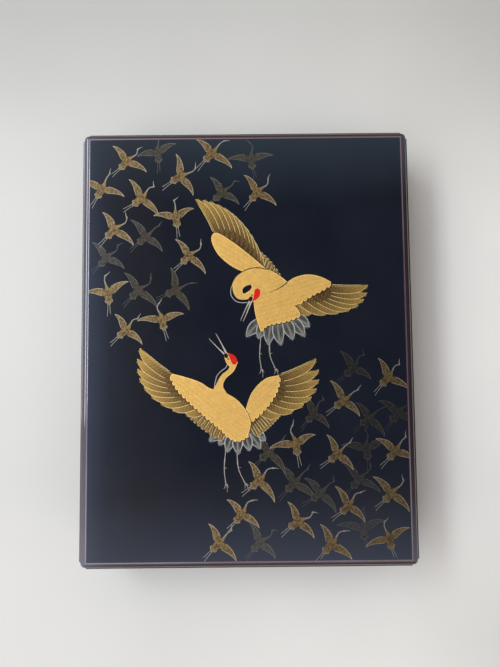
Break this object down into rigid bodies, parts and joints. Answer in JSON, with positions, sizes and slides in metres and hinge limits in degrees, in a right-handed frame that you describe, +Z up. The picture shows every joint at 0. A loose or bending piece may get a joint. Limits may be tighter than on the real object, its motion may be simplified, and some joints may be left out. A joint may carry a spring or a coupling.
{
  "type": "lacquer letter box",
  "caption": "Rectangular lacquered wooden letter box with an overlapping lift-off lid, stepped and rounded edges, and flying cranes in gold on a black top.",
  "frame": {"origin": "middle of the underside, on the surface that the box stands on", "axes": "+Z up, +Y along the long sides towards the upper end of the picture on the lid, +X to the picture's right"},
  "size_m": [0.27, 0.353, 0.06],
  "materials": {
    "black_lacquer": "mirror-gloss blue-black lacquer over wood, with dark red-brown lacquer on the stepped edges",
    "brown_lacquer": "gloss dark red-brown lacquer over wood",
    "gold_powder": "fine gold powder burnished into the lacquer",
    "brown_gold_powder": "sparser gold powder, dark lacquer showing through",
    "faint_gold_powder": "thinly dusted gold powder, nearly as dark as the lacquer",
    "silver_powder": "greyed silver powder",
    "red_lacquer": "bright vermilion lacquer"
  },
  "bodies": {
    "root": {"box_body": "brown_lacquer", "lid": "black_lacquer"}
  },
  "joints": []
}
